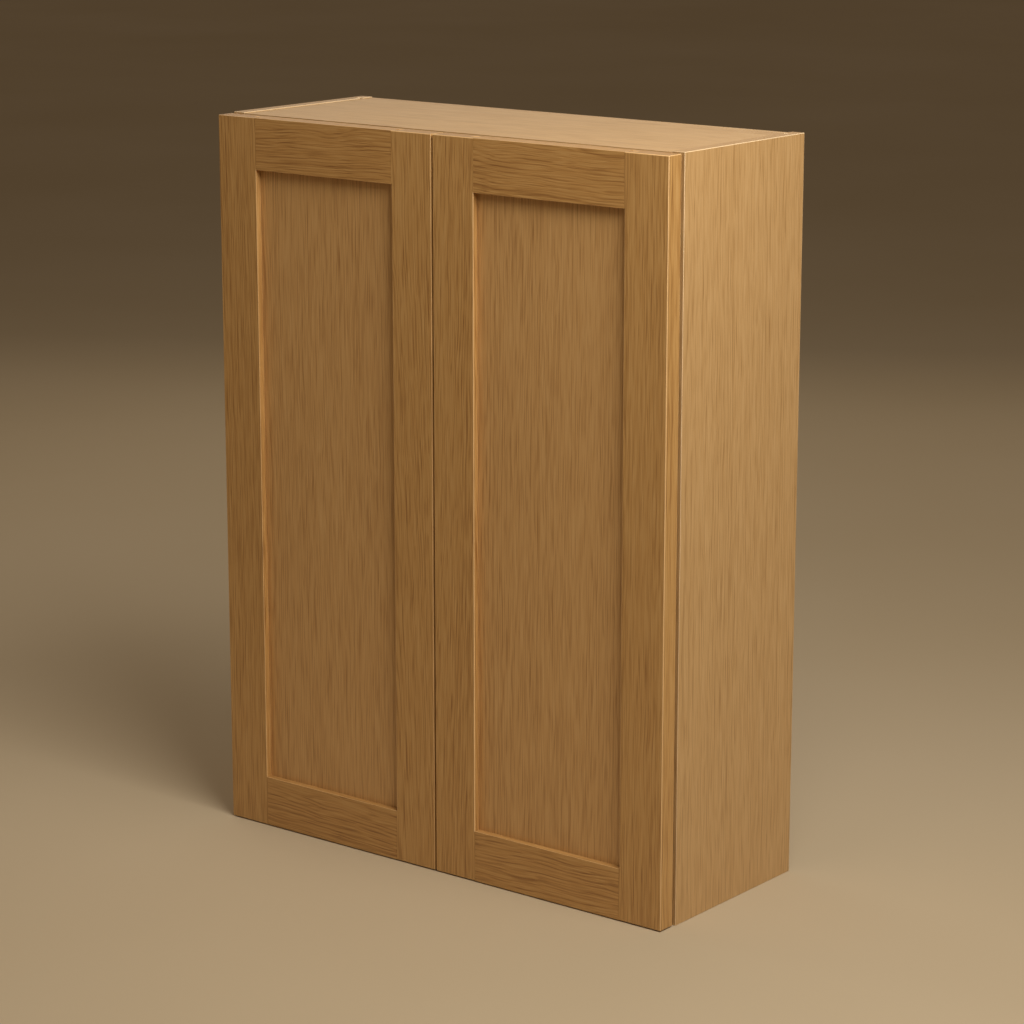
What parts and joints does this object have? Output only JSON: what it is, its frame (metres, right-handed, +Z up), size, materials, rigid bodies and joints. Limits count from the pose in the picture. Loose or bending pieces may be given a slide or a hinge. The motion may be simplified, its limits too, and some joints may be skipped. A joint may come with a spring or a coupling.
{
  "type": "hanging wall cabinet",
  "caption": "Frameless wall cabinet with full-overlay frame-and-panel doors on concealed hinges, and adjustable shelves inside.",
  "frame": {"origin": "middle of the top hanging rail's back face, on the wall plane", "axes": "+Z up, +Y into the wall, doors face -Y, +X to the viewer's right"},
  "size_m": [0.686, 0.272, 0.914],
  "materials": {
    "carcass_wood": "clear satin lacquer on oak veneer, fine straight grain",
    "door_wood": "clear satin lacquer on solid oak, honey stain",
    "plywood": "sanded plywood, clear sealed",
    "hinge_steel": "nickel-plated steel, satin",
    "bumper_rubber": "soft translucent elastomer"
  },
  "bodies": {
    "carcass": {"left_side_panel": "carcass_wood", "right_side_panel": "carcass_wood", "top_panel": "carcass_wood", "bottom_panel": "carcass_wood", "back_panel": "plywood", "top_hanging_rail": "plywood", "bottom_hanging_rail": "plywood", "lower_shelf": "carcass_wood", "lower_shelf_pin_left_front": "hinge_steel", "lower_shelf_pin_left_rear": "hinge_steel", "lower_shelf_pin_right_front": "hinge_steel", "lower_shelf_pin_right_rear": "hinge_steel", "upper_shelf": "carcass_wood", "upper_shelf_pin_left_front": "hinge_steel", "upper_shelf_pin_left_rear": "hinge_steel", "upper_shelf_pin_right_front": "hinge_steel", "upper_shelf_pin_right_rear": "hinge_steel", "left_lower_hinge_arm": "hinge_steel", "left_lower_hinge_plate": "hinge_steel", "left_lower_plate_screw_low": "hinge_steel", "left_lower_plate_screw_high": "hinge_steel", "left_upper_hinge_arm": "hinge_steel", "left_upper_hinge_plate": "hinge_steel", "left_upper_plate_screw_low": "hinge_steel", "left_upper_plate_screw_high": "hinge_steel", "right_lower_hinge_arm": "hinge_steel", "right_lower_hinge_plate": "hinge_steel", "right_lower_plate_screw_low": "hinge_steel", "right_lower_plate_screw_high": "hinge_steel", "right_upper_hinge_arm": "hinge_steel", "right_upper_hinge_plate": "hinge_steel", "right_upper_plate_screw_low": "hinge_steel", "right_upper_plate_screw_high": "hinge_steel"},
    "left_door": {"left_door_outer_stile": "door_wood", "left_door_inner_stile": "door_wood", "left_door_top_rail": "door_wood", "left_door_bottom_rail": "door_wood", "left_door_panel": "door_wood", "left_door_top_bumper": "bumper_rubber", "left_door_bottom_bumper": "bumper_rubber", "left_lower_hinge_cup": "hinge_steel", "left_lower_hinge_pin": "hinge_steel", "left_upper_hinge_cup": "hinge_steel", "left_upper_hinge_pin": "hinge_steel"},
    "right_door": {"right_door_outer_stile": "door_wood", "right_door_inner_stile": "door_wood", "right_door_top_rail": "door_wood", "right_door_bottom_rail": "door_wood", "right_door_panel": "door_wood", "right_door_top_bumper": "bumper_rubber", "right_door_bottom_bumper": "bumper_rubber", "right_lower_hinge_cup": "hinge_steel", "right_lower_hinge_pin": "hinge_steel", "right_upper_hinge_cup": "hinge_steel", "right_upper_hinge_pin": "hinge_steel"}
  },
  "joints": [
    {"name": "left_door_swing", "type": "hinge", "parent": "carcass", "child": "left_door", "pos_m": [-0.334, -0.2568, -0.3995], "axis": [0, 0, -1], "range_deg": [0, 105]},
    {"name": "right_door_swing", "type": "hinge", "parent": "carcass", "child": "right_door", "pos_m": [0.334, -0.2568, -0.3995], "axis": [0, 0, 1], "range_deg": [0, 105]}
  ]
}
